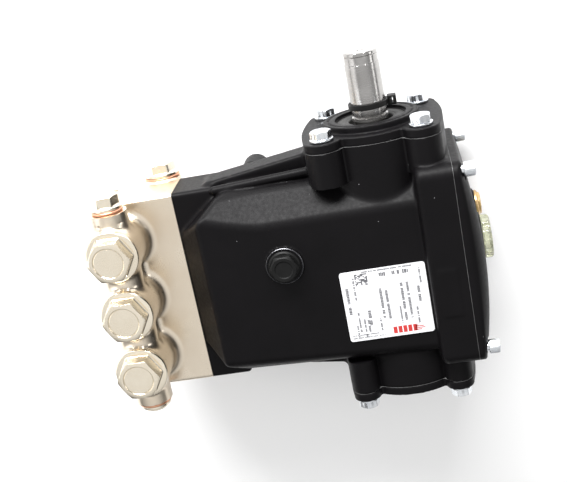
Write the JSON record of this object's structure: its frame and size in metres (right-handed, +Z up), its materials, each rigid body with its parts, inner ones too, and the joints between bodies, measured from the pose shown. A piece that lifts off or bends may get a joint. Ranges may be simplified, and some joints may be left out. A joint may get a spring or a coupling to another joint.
{
  "type": "triplex plunger pump",
  "caption": "High-pressure triplex plunger pump with a black aluminium crankcase, a nickel-plated valve manifold and a solid drive shaft.",
  "frame": {"origin": "centre line of the machined base at z = 0, under the crankshaft axis and the middle plunger", "axes": "+Z up from the machined base, -Y towards the manifold along the plungers, -X out along the drive shaft"},
  "size_m": [0.2472, 0.2743, 0.123],
  "materials": {
    "black_coated_aluminium": "satin",
    "nickel_plated_brass": "satin",
    "zinc_plated_steel": "semi-gloss",
    "ground_steel": "semi-gloss",
    "machined_aluminium": "satin",
    "copper_washer": "satin",
    "brass_plug": "satin",
    "black_rubber": "matte",
    "black_plastic": "satin",
    "white_ceramic": "gloss",
    "clear_plastic": "gloss",
    "label_film": "satin"
  },
  "bodies": {
    "pump": {"crankcase": "black_coated_aluminium", "shaft_side_cover": "black_coated_aluminium", "closed_side_cover": "black_coated_aluminium", "rear_cover": "black_coated_aluminium", "manifold": "nickel_plated_brass", "shaft_seal": "black_rubber", "bearing_shaft_side": "ground_steel", "bearing_closed_side": "ground_steel", "oil_filler_plug": "black_plastic", "drain_plug": "brass_plug", "sight_glass": "clear_plastic", "data_label": "label_film", "discharge_valve_cap_1": "nickel_plated_brass", "suction_valve_cap_1": "nickel_plated_brass", "discharge_valve_cap_2": "nickel_plated_brass", "suction_valve_cap_2": "nickel_plated_brass", "discharge_valve_cap_3": "nickel_plated_brass", "suction_valve_cap_3": "nickel_plated_brass", "discharge_port_shaft_side_plug": "nickel_plated_brass", "discharge_port_shaft_side_washer": "copper_washer", "discharge_port_closed_side_plug": "nickel_plated_brass", "discharge_port_closed_side_washer": "copper_washer", "suction_port_shaft_side_plug": "nickel_plated_brass", "suction_port_shaft_side_washer": "copper_washer", "shaft_cover_bolt_1": "zinc_plated_steel", "closed_cover_bolt_1": "zinc_plated_steel", "rear_cover_screw_1": "zinc_plated_steel", "shaft_cover_bolt_2": "zinc_plated_steel", "closed_cover_bolt_2": "zinc_plated_steel", "rear_cover_screw_2": "zinc_plated_steel", "shaft_cover_bolt_3": "zinc_plated_steel", "closed_cover_bolt_3": "zinc_plated_steel", "rear_cover_screw_3": "zinc_plated_steel", "shaft_cover_bolt_4": "zinc_plated_steel", "closed_cover_bolt_4": "zinc_plated_steel", "rear_cover_screw_4": "zinc_plated_steel", "packing_1": "black_rubber", "packing_2": "black_rubber", "packing_3": "black_rubber"},
    "crank": {"crankshaft": "ground_steel", "shaft_key": "ground_steel", "cable_tie": "black_plastic"},
    "con_rod_1": {"con_rod_1": "machined_aluminium", "wrist_pin_1": "ground_steel"},
    "plunger_1": {"plunger_guide_1": "machined_aluminium", "plunger_1": "white_ceramic"},
    "discharge_valve_1": {"discharge_valve_1": "ground_steel"},
    "suction_valve_1": {"suction_valve_1": "ground_steel"},
    "con_rod_2": {"con_rod_2": "machined_aluminium", "wrist_pin_2": "ground_steel"},
    "plunger_2": {"plunger_guide_2": "machined_aluminium", "plunger_2": "white_ceramic"},
    "discharge_valve_2": {"discharge_valve_2": "ground_steel"},
    "suction_valve_2": {"suction_valve_2": "ground_steel"},
    "con_rod_3": {"con_rod_3": "machined_aluminium", "wrist_pin_3": "ground_steel"},
    "plunger_3": {"plunger_guide_3": "machined_aluminium", "plunger_3": "white_ceramic"},
    "discharge_valve_3": {"discharge_valve_3": "ground_steel"},
    "suction_valve_3": {"suction_valve_3": "ground_steel"}
  },
  "joints": [
    {"name": "crank_spin", "type": "hinge", "parent": "pump", "child": "crank", "pos_m": [0, 0, 0.058], "axis": [1, 0, 0], "continuous": true},
    {"name": "con_rod_pivot_1", "type": "hinge", "parent": "crank", "child": "con_rod_1", "pos_m": [-0.044, -0.007, 0.058], "axis": [1, 0, 0], "continuous": true},
    {"name": "plunger_slide_1", "type": "slide", "parent": "pump", "child": "plunger_1", "axis": [0, 1, 0], "range_m": [0, 0.014]},
    {"name": "discharge_valve_lift_1", "type": "slide", "parent": "pump", "child": "discharge_valve_1", "axis": [0, 0, 1], "range_m": [0, 0.002], "stiffness_N_per_m": 300, "springref_m": -0.004},
    {"name": "suction_valve_lift_1", "type": "slide", "parent": "pump", "child": "suction_valve_1", "axis": [0, 0, 1], "range_m": [0, 0.002], "stiffness_N_per_m": 300, "springref_m": -0.004},
    {"name": "con_rod_pivot_2", "type": "hinge", "parent": "crank", "child": "con_rod_2", "pos_m": [0, 0.0035, 0.06406], "axis": [1, 0, 0], "continuous": true},
    {"name": "plunger_slide_2", "type": "slide", "parent": "pump", "child": "plunger_2", "axis": [0, 1, 0], "range_m": [-0.0105, 0.0035]},
    {"name": "discharge_valve_lift_2", "type": "slide", "parent": "pump", "child": "discharge_valve_2", "axis": [0, 0, 1], "range_m": [0, 0.002], "stiffness_N_per_m": 300, "springref_m": -0.004},
    {"name": "suction_valve_lift_2", "type": "slide", "parent": "pump", "child": "suction_valve_2", "axis": [0, 0, 1], "range_m": [0, 0.002], "stiffness_N_per_m": 300, "springref_m": -0.004},
    {"name": "con_rod_pivot_3", "type": "hinge", "parent": "crank", "child": "con_rod_3", "pos_m": [0.044, 0.0035, 0.05194], "axis": [1, 0, 0], "continuous": true},
    {"name": "plunger_slide_3", "type": "slide", "parent": "pump", "child": "plunger_3", "axis": [0, 1, 0], "range_m": [-0.0105, 0.0035]},
    {"name": "discharge_valve_lift_3", "type": "slide", "parent": "pump", "child": "discharge_valve_3", "axis": [0, 0, 1], "range_m": [0, 0.002], "stiffness_N_per_m": 300, "springref_m": -0.004},
    {"name": "suction_valve_lift_3", "type": "slide", "parent": "pump", "child": "suction_valve_3", "axis": [0, 0, 1], "range_m": [0, 0.002], "stiffness_N_per_m": 300, "springref_m": -0.004}
  ],
  "couplings": [
    {"joint": "con_rod_pivot_1", "follows": "crank_spin", "ratio": -1},
    {"joint": "con_rod_pivot_2", "follows": "crank_spin", "ratio": -1},
    {"joint": "con_rod_pivot_3", "follows": "crank_spin", "ratio": -1}
  ]
}
